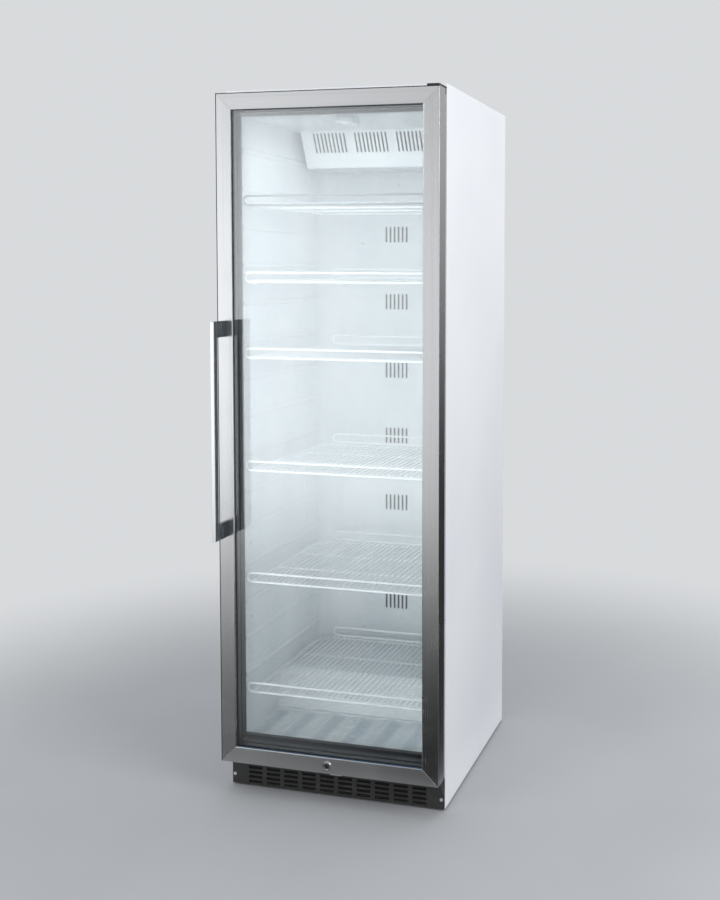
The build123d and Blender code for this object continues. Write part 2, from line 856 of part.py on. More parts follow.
with BuildPart() as inner_frame:
    with BuildSketch(facing(door_back_y)):
        ring(steel + fit, sight_inset, 10)
    extrude(amount=door_back_y - (pane_y + 2 * pane + pane_gap + fit))
    with BuildSketch(facing(pane_y + 2 * pane + pane_gap + fit)):
        ring(steel + fit, pane_inset - fit)
    extrude(amount=2 * pane + pane_gap + 2.4)
    rod(0, door_y, door_back_y + 1, lock_z, lock_r + fit, mode=Mode.SUBTRACT)
    post(hinge_x, hinge_y, door_z, door_z + bush_long, bush_r + run_fit, mode=Mode.SUBTRACT)
    post(hinge_x, hinge_y, door_top - bush_long, door_top, bush_r + run_fit, mode=Mode.SUBTRACT)
save(inner_frame, "door_inner_frame")

pane_half = half_width - pane_inset

with BuildPart() as front_glass:
    block(-pane_half, pane_half, pane_y, pane_y + pane, door_z + pane_inset, door_top - pane_inset)
save(front_glass, "front_glass")

with BuildPart() as rear_glass:
    rear_y = pane_y + pane + pane_gap
    block(-pane_half, pane_half, rear_y, rear_y + pane, door_z + pane_inset, door_top - pane_inset)
save(rear_glass, "rear_glass")

with BuildPart() as spacer:
    with BuildSketch(facing(pane_y + pane + pane_gap)):
        ring(pane_inset + 1, sight_inset - 1)
    extrude(amount=pane_gap)
save(spacer, "glass_spacer")

with BuildPart() as gasket:
    low = door_z + gasket_low
    high = door_top - gasket_inset
    half = half_width - gasket_inset
    with BuildSketch(facing(front_y - 0.3)):
        with Locations((0, (low + high) / 2)):
            RectangleRounded(2 * half, high - low, 12)
            RectangleRounded(2 * (half - gasket_wide), high - low - 2 * gasket_wide, 4, mode=Mode.SUBTRACT)
    extrude(amount=door_gap - 0.4)
    fillet(gasket.faces().sort_by(Axis.Y)[-1].edges(), 3)
save(gasket, "door_gasket")

# Lock ------------------------------------------------------------------------------------------------

cam_y = door_back_y + 1
cam_thick = 2
cam_long = 29
cam_half = 5.5

with BuildPart() as lock_body:
    rod(0, door_y, door_back_y, lock_z, lock_r)
    rod(0, door_y - 2.5, door_y, lock_z, lock_r + 1.5)
    chamfer(lock_body.edges().group_by(Axis.Y)[0], 1.2)
    rod(0, door_y - 4, door_back_y + 1, lock_z, plug_r + run_fit, mode=Mode.SUBTRACT)
save(lock_body, "lock_body")

with BuildPart() as lock_plug:
    rod(0, door_y - 2, cam_y + cam_thick, lock_z, plug_r)
    chamfer(lock_plug.edges().group_by(Axis.Y)[0], 0.5)
    block(-cam_long, 0, cam_y, cam_y + cam_thick, lock_z - cam_half, lock_z + cam_half)
    block(-0.9, 0.9, door_y - 3, door_y + 10, lock_z - 4.2, lock_z + 4.2, mode=Mode.SUBTRACT)
save(lock_plug, "lock_plug")

with BuildPart() as keeper:
    block(-15, 15, kick_y - 14, kick_y - fit, 73, 75)
    block(-15, 15, kick_y - 14, kick_y - 12, 75, 87.5)
    block(-15, 15, kick_y - 1.7, kick_y - fit, 60, 73)
save(keeper, "lock_keeper")

# Handle ----------------------------------------------------------------------------------------------

with BuildPart() as handle:
    x0 = handle_x
    x1 = handle_x + handle_wide
    block(x0, x1, handle_y, handle_y + bar_deep, handle_low, handle_high)
    block(x0, x1, handle_y + bar_deep, door_y - 0.05, handle_low, handle_low + post_high)
    block(x0, x1, handle_y + bar_deep, door_y - 0.05, handle_high - post_high, handle_high)
    chamfer(handle.edges().filter_by(Axis.Z), 0.8)
save(handle, "door_handle")
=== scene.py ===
import json
import math

import bmesh
import bpy
from mathutils import Matrix, Vector

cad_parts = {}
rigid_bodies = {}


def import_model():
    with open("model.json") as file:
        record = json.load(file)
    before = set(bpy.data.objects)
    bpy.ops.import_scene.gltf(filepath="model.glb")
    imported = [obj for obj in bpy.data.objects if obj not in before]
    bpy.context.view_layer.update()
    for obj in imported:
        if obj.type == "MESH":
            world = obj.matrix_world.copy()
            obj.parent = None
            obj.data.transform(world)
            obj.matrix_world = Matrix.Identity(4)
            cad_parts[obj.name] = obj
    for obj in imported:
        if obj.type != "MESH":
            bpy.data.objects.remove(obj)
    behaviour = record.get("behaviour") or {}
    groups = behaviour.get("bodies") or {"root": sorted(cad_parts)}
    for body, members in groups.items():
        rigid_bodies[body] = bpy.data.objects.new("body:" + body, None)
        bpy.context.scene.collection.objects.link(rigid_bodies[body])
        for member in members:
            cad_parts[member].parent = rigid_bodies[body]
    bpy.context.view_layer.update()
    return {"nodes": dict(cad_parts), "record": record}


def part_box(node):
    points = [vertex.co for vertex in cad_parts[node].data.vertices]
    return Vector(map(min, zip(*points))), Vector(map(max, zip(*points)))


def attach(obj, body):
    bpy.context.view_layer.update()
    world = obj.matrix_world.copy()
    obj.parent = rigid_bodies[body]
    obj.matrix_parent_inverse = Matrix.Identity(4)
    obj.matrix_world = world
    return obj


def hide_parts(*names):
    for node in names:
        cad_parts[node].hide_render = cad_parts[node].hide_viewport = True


for leftover in list(bpy.data.objects):
    bpy.data.objects.remove(leftover)

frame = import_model()
nodes = frame["nodes"]
mm = 0.001
print("frame loaded with", len(nodes), "CAD nodes")


# shader maths: a Signal is a number, colour or vector on its way through a finish's nodes
class Signal:
    def __init__(self, finish, socket):
        self.finish = finish
        self.socket = socket

    def maths(self, operation, *values):
        values = values or (self,)
        return self.finish.node("ShaderNodeMath", {"operation": operation}, dict(enumerate(values)))

    def __add__(self, other):
        return self.maths("ADD", self, other)

    def __sub__(self, other):
        return self.maths("SUBTRACT", self, other)

    def __rsub__(self, other):
        return self.maths("SUBTRACT", other, self)

    def __mul__(self, other):
        return self.maths("MULTIPLY", self, other)

    def __truediv__(self, other):
        return self.maths("DIVIDE", self, other)

    def __rtruediv__(self, other):
        return self.maths("DIVIDE", other, self)

    def __pow__(self, other):
        return self.maths("POWER", self, other)

    def __rpow__(self, other):
        return self.maths("POWER", other, self)

    def between(self, low, high):  # 0 at low, 1 at high, smooth in between
        smooth = {"interpolation_type": "SMOOTHSTEP"}
        values = {"Value": self, "From Min": low, "From Max": high}
        return self.finish.node("ShaderNodeMapRange", smooth, values)

    __radd__ = __add__
    __rmul__ = __mul__


screenTint = (0.97, 0.985, 1)  # of the stage's glowing screens


class Finish:
    def __init__(self, name):
        self.material = bpy.data.materials.new(name)
        self.material.use_nodes = True
        self.tree = self.material.node_tree
        self.tree.nodes.clear()
        self.place = self.node("ShaderNodeTexCoord", output="Object")

    def node(self, kind, settings=None, values=None, output=0):
        made = self.tree.nodes.new(kind)
        for name, value in (settings or {}).items():
            setattr(made, name, value)
        for name, value in (values or {}).items():
            self.feed(made.inputs[name], value)
        return Signal(self, made.outputs[output])

    def feed(self, socket, value):
        if isinstance(value, Signal):
            self.tree.links.new(value.socket, socket)
        elif socket.type == "RGBA":
            socket.default_value = (*value, 1)
        else:
            socket.default_value = value

    def mix(self, share, first, second):
        return self.node("ShaderNodeMix", {"data_type": "RGBA"}, {0: share, 6: first, 7: second}, 2)

    def noise(self, scale, detail=2, stretch=(1, 1, 1), roughness=0.5):
        place = self.node("ShaderNodeMapping", None, {"Vector": self.place, "Scale": stretch})
        values = {"Vector": place, "Scale": scale, "Detail": detail, "Roughness": roughness}
        return self.node("ShaderNodeTexNoise", None, values)

    def cells(self, scale, output="Distance"):
        return self.node("ShaderNodeTexVoronoi", None, {"Vector": self.place, "Scale": scale}, output)

    def axis(self, name):
        return self.node("ShaderNodeSeparateXYZ", None, {0: self.place}, name)

    def bump(self, height, depth, strength=1.0):
        return self.node("ShaderNodeBump", None, {"Strength": strength, "Distance": depth, "Height": height})

    def surface(self, sockets):
        return self.node("ShaderNodeBsdfPrincipled", None, sockets)

    def glowing(self, share, strength):
        return self.done(self.surface({
            "Base Color": (0, 0, 0),
            "Specular IOR Level": 0,
            "Emission Color": self.mix(share, (0, 0, 0), screenTint),
            "Emission Strength": strength,
        }))

    def done(self, shader):
        end = self.tree.nodes.new("ShaderNodeOutputMaterial")
        self.tree.links.new(shader.socket, end.inputs["Surface"])
        return self.material


# finishes of the steel, plastics, glass and rubber
brushed = {
    "light": (0.71, 0.715, 0.72),
    "dark": (0.63, 0.635, 0.645),
    "grain": 1800,  # strokes per metre across the brushing
    "stroke": 3,  # and along it
    "band": 130,
    "roughness": 0.22,
    "spread": 0.07,
}


def brushedSteel(name, along, blur=0.0, facts=brushed):
    steel = Finish(name)
    fine = [facts["grain"]] * 3
    broad = [facts["band"]] * 3
    fine["xyz".index(along)] = facts["stroke"]
    broad["xyz".index(along)] = facts["stroke"] * 0.4
    strokes = steel.noise(1, 3, fine, 0.7)
    bands = steel.noise(1, 2, broad)
    smears = steel.noise(7, 3)
    shade = strokes * 0.7 + bands * 0.3
    roughness = facts["roughness"] + blur + strokes * facts["spread"] + smears.between(0.45, 0.8) * 0.05
    colour = steel.mix(shade.between(0.3, 0.7), facts["dark"], facts["light"])
    shader = steel.surface({
        "Base Color": colour,
        "Metallic": 1,
        "Roughness": roughness,
        "Normal": steel.bump(strokes, 0.00003, 0.4),
    })
    return steel.done(shader)


# front is the painted highlight colour of the handle's face, side the painted shade colour of its sides
handleLook = {
    "front": (0.88, 0.885, 0.89),
    "side": (0.07, 0.074, 0.08),
    "rubbed": (0.3, 0.305, 0.31),
    "faceDeep": 0.0012,
    "roughness": 0.18,
}


def highlightAndShadeSteel(name, faceY, facts=handleLook):  # painted highlight on the face and painted shade on the sides, standing in for what the polished handle reflects
    steel = Finish(name)
    strokes = steel.noise(1, 3, (1600, 1600, 4), 0.7)
    smears = steel.noise(9, 3)
    # painted shade: everything deeper than faceDeep behind the face takes the dark side colour, the face
    # keeps the bright painted highlight
    deep = (steel.axis("Y") - faceY).between(facts["faceDeep"] * 0.6, facts["faceDeep"])
    colour = steel.mix(deep, facts["front"], facts["side"])
    shader = steel.surface({
        "Base Color": steel.mix(strokes.between(0.35, 0.75) * 0.2, colour, facts["rubbed"]),
        "Metallic": 1,
        "Roughness": facts["roughness"] + strokes * 0.14 + smears * 0.04,
        "Normal": steel.bump(strokes, 0.00005, 0.6),
    })
    return steel.done(shader)


def paintedSteel(name, colour, shadow, roughness, coat=0.0, texture=420, depth=0.00006):
    paint = Finish(name)
    peel = paint.noise(texture, 3)
    drift = paint.noise(2.3, 2)
    dust = paint.noise(38, 5, roughness=0.7)
    shade = paint.mix(drift.between(0.25, 0.75), shadow, colour)
    shade = paint.mix(dust.between(0.62, 0.85) * 0.25, shade, shadow)
    shader = paint.surface({
        "Base Color": shade,
        "Roughness": roughness + peel * 0.08 + dust * 0.05,
        "Coat Weight": coat,
        "Coat Roughness": 0.12,
        "Normal": paint.bump(peel, depth, 0.5),
    })
    return paint.done(shader)


def mouldedPlastic(name, colour, worn, roughness, grain=900, depth=0.00008):
    plastic = Finish(name)
    pits = plastic.noise(grain, 4, roughness=0.6)
    rubbed = plastic.noise(24, 4, roughness=0.65)
    shader = plastic.surface({
        "Base Color": plastic.mix(rubbed.between(0.5, 0.8) * 0.6, colour, worn),
        "Roughness": roughness + (rubbed - 0.5) * 0.18,
        "Normal": plastic.bump(pits, depth, 0.7),
    })
    return plastic.done(shader)


def plainMetal(name, colour, tarnish, roughness, grain=600, metallic=1.0, depth=0.00003):
    metal = Finish(name)
    marks = metal.noise(grain, 3)
    film = metal.noise(18, 4, roughness=0.6)
    shader = metal.surface({
        "Base Color": metal.mix(film.between(0.4, 0.75), colour, tarnish),
        "Metallic": metallic,
        "Roughness": roughness + film * 0.12 + marks * 0.05,
        "Normal": metal.bump(marks, depth, 0.5),
    })
    return metal.done(shader)


zincLook = {
    "dull": (0.4, 0.42, 0.43),
    "bright": (0.66, 0.68, 0.69),
    "flakes": 85,
    "metallic": 0.85,
    "roughness": 0.32,
}


def spangledZinc(name, facts=zincLook):
    zinc = Finish(name)
    flakes = zinc.cells(facts["flakes"], "Color")
    grey = zinc.node("ShaderNodeRGBToBW", None, {0: flakes})
    haze = zinc.noise(9, 4)
    shader = zinc.surface({
        "Base Color": zinc.mix(grey * 0.7 + haze * 0.3, facts["dull"], facts["bright"]),
        "Metallic": facts["metallic"],
        "Roughness": facts["roughness"] + grey * 0.22,
        "Normal": zinc.bump(haze, 0.0001, 0.3),
    })
    return zinc.done(shader)


linerLook = {
    "colour": (0.8, 0.835, 0.848),
    "shadow": (0.7, 0.75, 0.775),
    # colour of the painted shade on one flank of each floor flute
    "flankShade": (0.42, 0.5, 0.54),
    "fluteTurns": 2 * math.pi / 0.084,
    "roughness": 0.27,
}


def smoothLiner(name, fluteShadeAmount=0.0, facts=linerLook):
    # the second argument is how much painted shade darkens one flank of each floor flute
    liner = Finish(name)
    ripple = liner.noise(5.5, 2, (1, 1, 0.5))
    skin = liner.noise(520, 2)
    scuffs = liner.noise(60, 5, (1, 3, 1), 0.7)
    shade = liner.mix(ripple.between(0.3, 0.75), facts["colour"], facts["shadow"])
    if fluteShadeAmount:
        # painted shade: a sine over X darkens one flank of each flute, only in front of the step
        fluteShadeWave = (liner.axis("X") * facts["fluteTurns"]).maths("SINE")
        fluteShadeReach = 1 - liner.axis("Y").between(-0.06, -0.04)
        shade = liner.mix(fluteShadeWave.between(-0.2, 1) * fluteShadeReach * fluteShadeAmount, shade, facts["flankShade"])
    shader = liner.surface({
        "Base Color": shade,
        "Roughness": facts["roughness"] + scuffs.between(0.55, 0.8) * 0.14,
        "Coat Weight": 0.25,
        "Coat Roughness": 0.2,
        "Normal": liner.bump(ripple * 0.9 + skin * 0.012, 0.0012, 0.35),
    })
    return liner.done(shader)


paneLook = {"tint": (0.972, 0.982, 0.985), "mirror": (0.97, 0.985, 1.0), "straight": 0.142, "haze": 0.02}


def clearPane(name, facts=paneLook):
    pane = Finish(name)
    smear = pane.noise(3.2, 4, (1, 1, 0.6), 0.6)
    gloss = pane.surface({
        "Base Color": facts["mirror"],
        "Metallic": 1,
        "Roughness": 0.012 + smear * facts["haze"],
    })
    through = pane.node("ShaderNodeBsdfTransparent", None, {"Color": facts["tint"]})
    slant = pane.node("ShaderNodeLayerWeight", None, {"Blend": 0.5}, "Facing")
    mirrored = facts["straight"] + slant**5 * (1 - facts["straight"])
    film = smear.between(0.5, 0.9) * 0.012
    return pane.done(pane.node("ShaderNodeMixShader", None, {0: mirrored + film, 1: through, 2: gloss}))


wireLook = {"colour": (0.9, 0.93, 0.94), "shadow": (0.8, 0.84, 0.86), "roughness": 0.26, "coat": 0.4}


def coatedWire(name, facts=wireLook):
    wire = Finish(name)
    runs = wire.noise(160, 3)
    pits = wire.noise(900, 2)
    shader = wire.surface({
        "Base Color": wire.mix(runs.between(0.35, 0.8), facts["colour"], facts["shadow"]),
        "Roughness": facts["roughness"] + runs * 0.12,
        "Coat Weight": facts["coat"],
        "Coat Roughness": 0.15,
        "Normal": wire.bump(runs + pits * 0.3, 0.0003, 0.4),
    })
    return wire.done(shader)


def softRubber(name, colour, dusty, roughness=0.62):
    rubber = Finish(name)
    skin = rubber.noise(700, 3)
    dust = rubber.noise(30, 5, roughness=0.7)
    shader = rubber.surface({
        "Base Color": rubber.mix(dust.between(0.5, 0.85) * 0.7, colour, dusty),
        "Roughness": roughness + dust * 0.15,
        "Normal": rubber.bump(skin, 0.0001, 0.6),
    })
    return rubber.done(shader)


foamLook = {"old": (0.83, 0.74, 0.45), "fresh": (0.72, 0.61, 0.34), "cells": 420, "roughness": 0.85}


def openFoam(name, facts=foamLook):
    foam = Finish(name)
    cells = foam.cells(facts["cells"])
    drift = foam.noise(12, 4)
    shader = foam.surface({
        "Base Color": foam.mix(drift, facts["old"], facts["fresh"]),
        "Roughness": facts["roughness"] - drift * 0.1,
        "Normal": foam.bump(cells, 0.0006, 0.8),
    })
    return foam.done(shader)


lampLook = {"body": (0.9, 0.93, 0.95), "dim": (0.82, 0.9, 1), "bright": (1, 1, 1), "dots": 260, "glow": 1.6}


def frostedLamp(name, facts=lampLook):
    lamp = Finish(name)
    frost = lamp.noise(800, 2)
    dots = lamp.axis("Z") * facts["dots"]
    glow = dots.maths("SINE")
    shader = lamp.surface({
        "Base Color": facts["body"],
        "Roughness": 0.4 + frost * 0.15,
        "Emission Color": lamp.mix(glow.between(-1, 1), facts["dim"], facts["bright"]),
        "Emission Strength": facts["glow"],
        "Normal": lamp.bump(frost, 0.0001, 0.5),
    })
    return lamp.done(shader)


kickLook = {"colour": (0.026, 0.026, 0.024), "worn": (0.06, 0.06, 0.055)}
uprightSteel = brushedSteel("brushedUpright", "z")
levelSteel = brushedSteel("brushedLevel", "x", 0.1)
whiteMetal = paintedSteel("whitePaint", (0.85, 0.86, 0.885), (0.79, 0.81, 0.85), 0.33, 0.15)
blackMetal = mouldedPlastic("blackPowderCoat", kickLook["colour"], kickLook["worn"], 0.5, 1300, 0.0001)
blackPlastic = mouldedPlastic("blackPlastic", (0.02, 0.02, 0.022), (0.05, 0.05, 0.055), 0.42)
zincSheet = spangledZinc("galvanisedSheet")
linerPlastic = smoothLiner("linerPlastic")
paneGlass = clearPane("doorGlass")
wireCoat = coatedWire("wireCoat")
sealRubber = softRubber("sealRubber", (0.035, 0.036, 0.04), (0.09, 0.09, 0.1))
footRubber = softRubber("footRubber", (0.03, 0.03, 0.032), (0.12, 0.115, 0.11), 0.7)
clipPlastic = mouldedPlastic("clipPlastic", (0.78, 0.81, 0.83), (0.66, 0.69, 0.72), 0.35)
finMetal = plainMetal("finAluminium", (0.8, 0.81, 0.82), (0.6, 0.61, 0.63), 0.28)
copperTube = plainMetal("copperTube", (0.78, 0.42, 0.27), (0.45, 0.24, 0.17), 0.25)
chromeMetal = plainMetal("polishedChrome", (0.82, 0.83, 0.84), (0.7, 0.71, 0.73), 0.06, 900)
zincMetal = plainMetal("zincScrew", (0.86, 0.87, 0.88), (0.7, 0.7, 0.71), 0.22)
motorPaint = paintedSteel("motorPaint", (0.24, 0.25, 0.27), (0.17, 0.18, 0.19), 0.45)
bladePlastic = mouldedPlastic("bladePlastic", (0.09, 0.1, 0.11), (0.16, 0.17, 0.18), 0.4)
compressorPaint = paintedSteel("compressorPaint", (0.018, 0.018, 0.02), (0.04, 0.04, 0.042), 0.25, 0.5)
nylonPlastic = mouldedPlastic("nylonBush", (0.72, 0.71, 0.66), (0.55, 0.54, 0.5), 0.4)

slotFinish = {
    "white_steel": whiteMetal,
    "white_liner": linerPlastic,
    "stainless": uprightSteel,
    "handle_steel": uprightSteel,
    "black_metal": blackMetal,
    "black_plastic": blackPlastic,
    "clear_glass": paneGlass,
    "gasket_rubber": sealRubber,
    "white_wire": wireCoat,
    "clip_plastic": clipPlastic,
    "galvanised": zincSheet,
    "foam": openFoam("insulationFoam"),
    "fin_aluminium": finMetal,
    "copper": copperTube,
    "motor_grey": motorPaint,
    "blade_plastic": bladePlastic,
    "compressor_black": compressorPaint,
    "lamp": frostedLamp("lampDiffuser"),
    "chrome_lock": chromeMetal,
    "zinc_screw": zincMetal,
    "nylon": nylonPlastic,
    "foot_plastic": footRubber,
}


def coverIn(thing, material):
    thing.data.materials.clear()
    thing.data.materials.append(material)


for part in frame["record"]["subparts"]:
    coverIn(nodes[part["node"]], slotFinish[part["material_slot"]])
for name in ("door_rail_top", "door_rail_bottom"):
    coverIn(nodes[name], levelSteel)
# the inner floor's liner carries painted shade on one flank of each flute
coverIn(nodes["inner_floor"], smoothLiner("linerFluteShade", 0.55))
handle = nodes["door_handle"]
handleFace = handle.matrix_world.inverted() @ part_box("door_handle")[0]
# the handle's finish paints a highlight on its face and shade on its sides
coverIn(handle, highlightAndShadeSteel("handleSteelPaintedLight", handleFace.y))
# the lock plug is dark metal all over, so that its face reads as the dark keyway
coverIn(nodes["lock_plug"], plainMetal("darkLockPlug", (0.2, 0.2, 0.205), (0.1, 0.1, 0.1), 0.25, 900))
print("finishes made and given to the CAD nodes")

# folded and rolled edges of the CAD nodes, widths in mm
edgeWidths = {
    "door_stile_left": 0.5,
    "door_stile_right": 0.5,
    "door_rail_top": 0.5,
    "door_rail_bottom": 0.5,
    "door_handle": 0.9,
    "top_panel": 0.4,
    "left_side_panel": 0.4,
    "right_side_panel": 0.4,
    "front_breaker_strips": 1.5,
    "front_glass": 0.6,
    "rear_glass": 0.6,
}

for name, width in edgeWidths.items():
    weld = nodes[name].modifiers.new("weld", "WELD")
    weld.merge_threshold = 0.00001
    bevel = nodes[name].modifiers.new("roundedEdge", "BEVEL")
    bevel.width = width * mm
    bevel.segments = 2
    bevel.limit_method = "ANGLE"
    bevel.angle_limit = math.radians(40)
    bevel.harden_normals = True


# mesh helpers, in metres and the frame's axes
def makePiece(name, mesh, body, material, standsFor=()):
    data = bpy.data.meshes.new(name)
    bmesh.ops.remove_doubles(mesh, verts=mesh.verts, dist=0.000005)
    bmesh.ops.recalc_face_normals(mesh, faces=mesh.faces)
    mesh.to_mesh(data)
    mesh.free()
    piece = bpy.data.objects.new(name, data)
    bpy.context.scene.collection.objects.link(piece)
    coverIn(piece, material)
    data.shade_smooth()
    data.set_sharp_from_angle(angle=math.radians(38))
    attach(piece, body)
    if standsFor:
        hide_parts(*standsFor)
    return piece


def joinRings(mesh, rings, closed=False):
    count = len(rings[0])
    for i in range(len(rings) if closed else len(rings) - 1):
        first = rings[i]
        second = rings[(i + 1) % len(rings)]
        for k in range(count):
            mesh.faces.new((first[k], first[(k + 1) % count], second[(k + 1) % count], second[k]))
    if not closed:
        mesh.faces.new(rings[0][::-1])
        mesh.faces.new(rings[-1])


def addTurned(mesh, centre, axis, profile, sides=32):  # profile: (radius, distance along the axis)
    forward = Vector(axis).normalized()
    across = forward.orthogonal().normalized()
    lift = forward.cross(across)
    rings = []
    for radius, along in profile:
        ring = []
        for k in range(sides):
            turn = 2 * math.pi * k / sides
            out = across * math.cos(turn) + lift * math.sin(turn)
            ring.append(mesh.verts.new(Vector(centre) + forward * along + out * radius))
        rings.append(ring)
    joinRings(mesh, rings)


def addRevolvedRing(mesh, centre, profile, sides=40):  # profile: (radius, depth), closed, about the Y axis
    rings = []
    for k in range(sides):
        turn = 2 * math.pi * k / sides
        out = Vector((math.cos(turn), 0, math.sin(turn)))
        ring = []
        for radius, depth in profile:
            ring.append(mesh.verts.new(Vector(centre) + out * radius + Vector((0, depth, 0))))
        rings.append(ring)
    joinRings(mesh, rings, closed=True)


def addBlock(mesh, low, high, soft=0.0):
    middle = (Vector(low) + Vector(high)) / 2
    size = Vector(high) - Vector(low)
    fitted = Matrix.Translation(middle) @ Matrix.Diagonal((*size, 1))
    made = bmesh.ops.create_cube(mesh, size=1, matrix=fitted)
    if soft:
        edges = list({edge for corner in made["verts"] for edge in corner.link_edges})
        bmesh.ops.bevel(mesh, geom=edges, offset=soft, segments=2, affect="EDGES", profile=0.5)


def addFrame(mesh, low, high, profile, radius=0.0, arc=6):
    # a moulding round a rectangle that faces the front; profile: (inset, depth) points in order, closed
    rings = []
    for inset, depth in profile:
        bend = max(radius - inset, 0)
        ring = []
        for sx, sz, start in ((1, 1, 0), (-1, 1, 90), (-1, -1, 180), (1, -1, 270)):
            x = (high.x - inset - bend) if sx > 0 else (low.x + inset + bend)
            z = (high.z - inset - bend) if sz > 0 else (low.z + inset + bend)
            for k in range(arc + 1 if radius else 1):
                turn = math.radians(start + (90 * k / arc if radius else 45))
                ring.append(mesh.verts.new((x + bend * math.cos(turn), depth, z + bend * math.sin(turn))))
        rings.append(ring)
    joinRings(mesh, rings, closed=True)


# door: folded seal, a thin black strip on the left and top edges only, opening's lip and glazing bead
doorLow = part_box("door_stile_left")[0]
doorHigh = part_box("door_stile_right")[1]
frontY = doorLow.y
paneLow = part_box("front_glass")[0]
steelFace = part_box("door_stile_left")[1].x - doorLow.x

sealShape = {"lips": 3, "steps": 8, "deep": 0.0035, "wide": 0.0135, "inset": 0.0003, "corner": 0.012}
sealLow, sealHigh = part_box("door_gasket")
sealMesh = bmesh.new()
sealFront, sealBack = sealLow.y, sealHigh.y
foldPoints = []
foldSteps = sealShape["lips"] * sealShape["steps"]
for k in range(foldSteps + 1):
    share = k / foldSteps
    swell = sealShape["deep"] * 0.5 * (1 - math.cos(2 * math.pi * sealShape["lips"] * share))
    inset = sealShape["inset"] + sealShape["deep"] * 0.45 - swell * 0.45
    foldPoints.append((inset, sealFront + (sealBack - sealFront) * share))
innerFold = [(sealShape["wide"] - inset, depth) for inset, depth in reversed(foldPoints)]
addFrame(sealMesh, sealLow, sealHigh, foldPoints + innerFold, radius=sealShape["corner"])
makePiece("gasketBellows", sealMesh, "door", sealRubber, ["door_gasket"])

# a thin black strip only along the left and top edges, where the door's rim reads as a dark line
beadShape = {"wide": 0.0022, "proud": 0.0004, "sunk": 0.0005, "edge": 0.0001, "soft": 0.00015}
beadMesh = bmesh.new()
beadFace = frontY - beadShape["proud"]
beadBack = frontY + beadShape["sunk"]
beadStart = doorLow.x + beadShape["edge"]
uprightLow = (beadStart, beadFace, doorLow.z)
uprightHigh = (doorLow.x + beadShape["wide"], beadBack, doorHigh.z)
levelLow = (beadStart, beadFace, doorHigh.z - beadShape["wide"])
levelHigh = (doorHigh.x - beadShape["edge"], beadBack, doorHigh.z)
addBlock(beadMesh, uprightLow, uprightHigh, beadShape["soft"])
addBlock(beadMesh, levelLow, levelHigh, beadShape["soft"])
makePiece("doorEdgeBead", beadMesh, "door", blackPlastic)

openLow = Vector((doorLow.x + steelFace, frontY, doorLow.z + steelFace))
openHigh = Vector((doorHigh.x - steelFace, frontY, doorHigh.z - steelFace))
glazing = {"lip": 0.0016, "bead": 0.0028}
lipMesh = bmesh.new()
lipProfile = [
    (-0.0004, frontY - 0.0003),
    (glazing["lip"] * 0.5, frontY - 0.00055),
    (glazing["lip"], frontY - 0.0001),
    (glazing["lip"], frontY + 0.0016),
    (-0.0004, frontY + 0.0016),
]
addFrame(lipMesh, openLow, openHigh, lipProfile)
makePiece("openingLip", lipMesh, "door", chromeMetal)

glazeMesh = bmesh.new()
glazeProfile = [
    (0.0001, frontY + 0.002),
    (glazing["lip"], frontY + 0.0026),
    (glazing["bead"], paneLow.y - 0.0002),
    (glazing["bead"] - 0.0004, paneLow.y + 0.0001),
    (0.0001, paneLow.y + 0.0001),
]
addFrame(glazeMesh, openLow, openHigh, glazeProfile)
makePiece("glazingBead", glazeMesh, "door", sealRubber)

# a thin film of blue sealing compound along the foot of the opening
sealLine = {"ends": 0.0018, "proud": 0.0002, "deep": 0.0016, "foot": 0.0016, "top": 0.0029, "soft": 0.0003}
sealTint = {"colour": (0.01, 0.1, 0.2), "worn": (0.01, 0.07, 0.13)}
filmMesh = bmesh.new()
addBlock(
    filmMesh,
    (openLow.x + sealLine["ends"], frontY - sealLine["proud"], openLow.z + sealLine["foot"]),
    (openHigh.x - sealLine["ends"], frontY + sealLine["deep"], openLow.z + sealLine["top"]),
    sealLine["soft"],
)
sealBlue = mouldedPlastic("sealingCompound", sealTint["colour"], sealTint["worn"], 0.5)
makePiece("openingSealLine", filmMesh, "door", sealBlue)

# the lock's collar, and a near-black block of painted shade behind its key slot
lockLook = {"z": 0.111, "collar": 0.0113, "slot": (0.0009, 0.0041), "slotShadeDepth": (0.002, 0.0026)}
collarMesh = bmesh.new()
ring = lockLook["collar"]
collarProfile = [
    (ring - 0.0035, -0.0026),
    (ring - 0.0018, -0.0031),
    (ring - 0.0004, -0.0028),
    (ring + 0.0003, -0.0016),
    (ring + 0.0003, -0.0001),
    (ring - 0.0035, -0.0001),
]
addRevolvedRing(collarMesh, (0, frontY, lockLook["z"]), collarProfile)
makePiece("lockCollar", collarMesh, "door", chromeMetal)

# painted shade: a near-black block inside the key slot
keySlotShadeMesh = bmesh.new()
halfWide, halfHigh = lockLook["slot"]
slotShadeFront, slotShadeBack = lockLook["slotShadeDepth"]
addBlock(
    keySlotShadeMesh,
    (-halfWide + 0.0001, frontY + slotShadeFront, lockLook["z"] - halfHigh),
    (halfWide - 0.0001, frontY + slotShadeBack, lockLook["z"] + halfHigh),
    0.0001,
)
makePiece("keySlotShade", keySlotShadeMesh, "lock_plug", blackPlastic)
print("door details made")

# kick plate: a near-black sheet of painted shade lies behind the slots
kickLow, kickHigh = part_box("kick_plate")
kickShadeMesh = bmesh.new()
kickShadeGap = {"behind": 0.0006, "thick": 0.003, "inset": 0.03, "foot": 0.008, "head": 0.006, "soft": 0.0008}
kickShadeFront = kickHigh.y + kickShadeGap["behind"]
addBlock(
    kickShadeMesh,
    (kickLow.x + kickShadeGap["inset"], kickShadeFront, kickLow.z + kickShadeGap["foot"]),
    (kickHigh.x - kickShadeGap["inset"], kickShadeFront + kickShadeGap["thick"], kickHigh.z - kickShadeGap["head"]),
    kickShadeGap["soft"],
)
